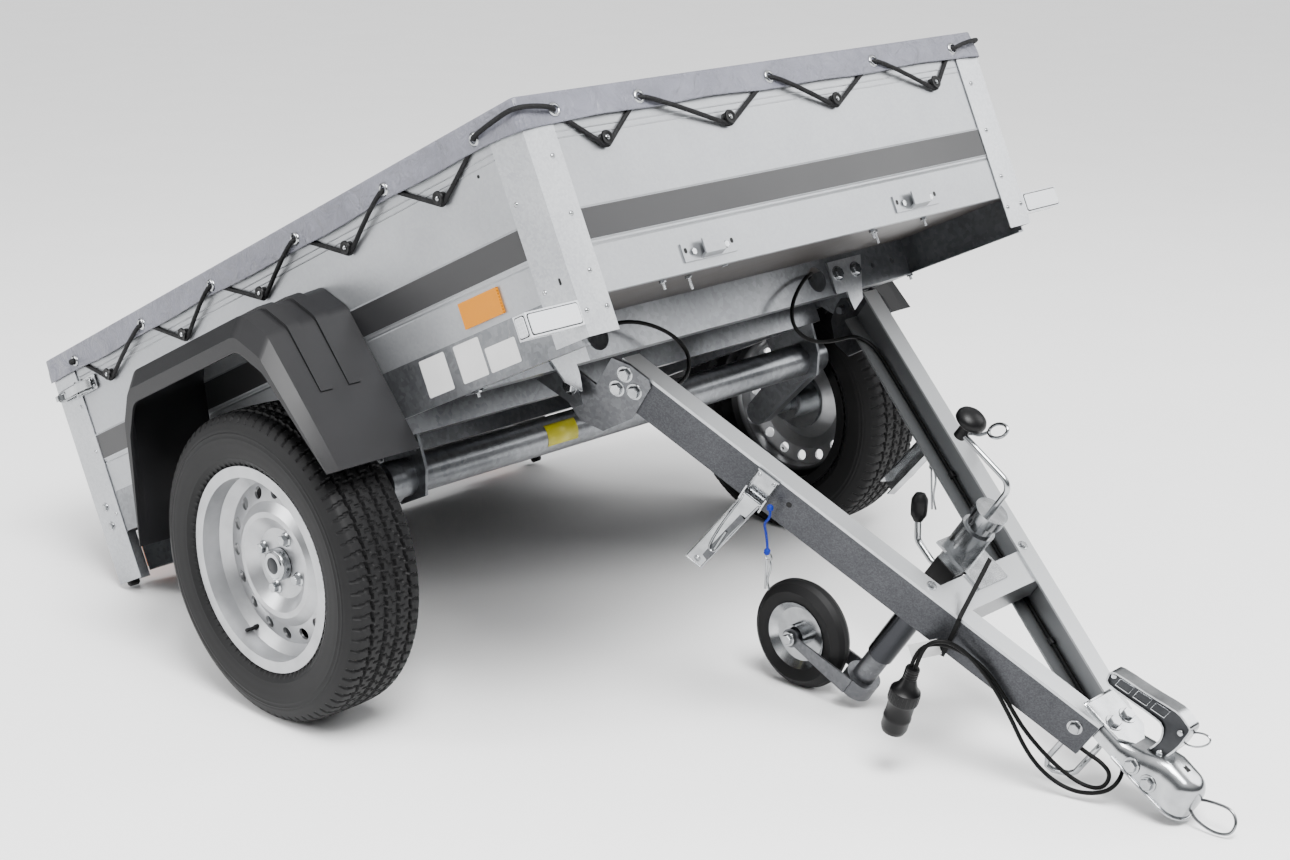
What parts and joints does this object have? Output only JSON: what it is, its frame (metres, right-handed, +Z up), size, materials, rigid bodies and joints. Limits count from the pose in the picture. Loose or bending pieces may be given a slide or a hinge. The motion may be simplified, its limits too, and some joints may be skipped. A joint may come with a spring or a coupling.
{
  "type": "utility trailer",
  "caption": "Single-axle box trailer with soft cover, folding A-frame drawbar, ball coupling, jockey wheel and plastic mudguards.",
  "frame": {"origin": "on the floor under the middle of the trailer's overall length, on its centre plane", "axes": "+X towards the coupling, +Y to the trailer's left, +Z up"},
  "size_m": [2.2967, 1.526, 1.0977],
  "materials": {
    "amber_lens": "clear",
    "black_plastic": "grained",
    "cover_cloth": "coated cloth",
    "galvanised_steel": "galvanised",
    "plywood": "film faced",
    "red_lens": "clear",
    "rubber": "matt",
    "silver_paint": "silver",
    "white_lens": "clear",
    "zinc_steel": "bright zinc"
  },
  "bodies": {
    "bed": {"axle_lug_left": "galvanised_steel", "axle_lug_right": "galvanised_steel", "axle_tube": "galvanised_steel", "cover": "cover_cloth", "floor": "plywood", "front_cross_member": "galvanised_steel", "front_lamp_left": "white_lens", "front_lamp_right": "white_lens", "front_panel": "galvanised_steel", "front_post_left": "galvanised_steel", "front_post_right": "galvanised_steel", "lamp_bar": "galvanised_steel", "light_cable_loops": "black_plastic", "long_beam_left": "galvanised_steel", "long_beam_right": "galvanised_steel", "mid_cross_member": "galvanised_steel", "mudguard_left": "black_plastic", "mudguard_right": "black_plastic", "pivot_bracket_left": "galvanised_steel", "pivot_bracket_right": "galvanised_steel", "rear_cross_member": "galvanised_steel", "rear_lamp_left": "red_lens", "rear_lamp_right": "red_lens", "rear_post_left": "galvanised_steel", "rear_post_right": "galvanised_steel", "rear_sill": "galvanised_steel", "side_panel_left": "galvanised_steel", "side_panel_right": "galvanised_steel", "side_rail_left": "galvanised_steel", "side_rail_right": "galvanised_steel", "side_reflector_left": "amber_lens", "side_reflector_right": "amber_lens", "trailing_arm_left": "galvanised_steel", "trailing_arm_right": "galvanised_steel", "v_plate_left": "galvanised_steel", "v_plate_right": "galvanised_steel"},
    "wheel_right": {"tyre_right": "rubber", "rim_right": "silver_paint", "hub_right": "zinc_steel"},
    "wheel_left": {"tyre_left": "rubber", "rim_left": "silver_paint", "hub_left": "zinc_steel"},
    "tailgate": {"tailgate": "galvanised_steel", "cover_rear_flap": "cover_cloth"},
    "jockey_leg": {"jockey_inner_tube": "zinc_steel"},
    "jockey_caster": {"jockey_fork": "zinc_steel"},
    "jockey_wheel": {"jockey_tyre": "rubber", "jockey_rim": "zinc_steel"},
    "drawbar": {"coupling": "zinc_steel", "drawbar_arm_left": "galvanised_steel", "drawbar_arm_right": "galvanised_steel", "drawbar_crossbar": "galvanised_steel", "hinge_plate_left": "galvanised_steel", "hinge_plate_right": "galvanised_steel", "jockey_clamp": "zinc_steel", "jockey_crank": "zinc_steel", "jockey_outer_tube": "zinc_steel", "toggle_latch_left": "zinc_steel", "toggle_latch_right": "zinc_steel", "light_cables": "black_plastic"}
  },
  "joints": [
    {"name": "wheel_right_spin", "type": "hinge", "parent": "bed", "child": "wheel_right", "pos_m": [-0.22734, -0.678, 0.2735], "axis": [0, 1, 0], "continuous": true},
    {"name": "wheel_left_spin", "type": "hinge", "parent": "bed", "child": "wheel_left", "pos_m": [-0.22734, 0.678, 0.2735], "axis": [0, 1, 0], "continuous": true},
    {"name": "drawbar_fold", "type": "hinge", "parent": "bed", "child": "drawbar", "pos_m": [0.15366, 0, 0.5946], "axis": [0, 1, 0], "range_deg": [-59.4, 0]},
    {"name": "tailgate_drop", "type": "hinge", "parent": "bed", "child": "tailgate", "pos_m": [-1.02947, 0, 0.15986], "axis": [0, -1, 0], "range_deg": [0, 170]},
    {"name": "jockey_slide", "type": "slide", "parent": "drawbar", "child": "jockey_leg", "axis": [-0.565, 0, -0.8251], "range_m": [-0.055, 0.15]},
    {"name": "jockey_swivel", "type": "hinge", "parent": "jockey_leg", "child": "jockey_caster", "pos_m": [0.47865, 0, 0.0391], "axis": [0.565, 0, 0.8251], "continuous": true},
    {"name": "jockey_spin", "type": "hinge", "parent": "jockey_caster", "child": "jockey_wheel", "pos_m": [0.35431, 0, 0.1], "axis": [0, 1, 0], "continuous": true}
  ]
}
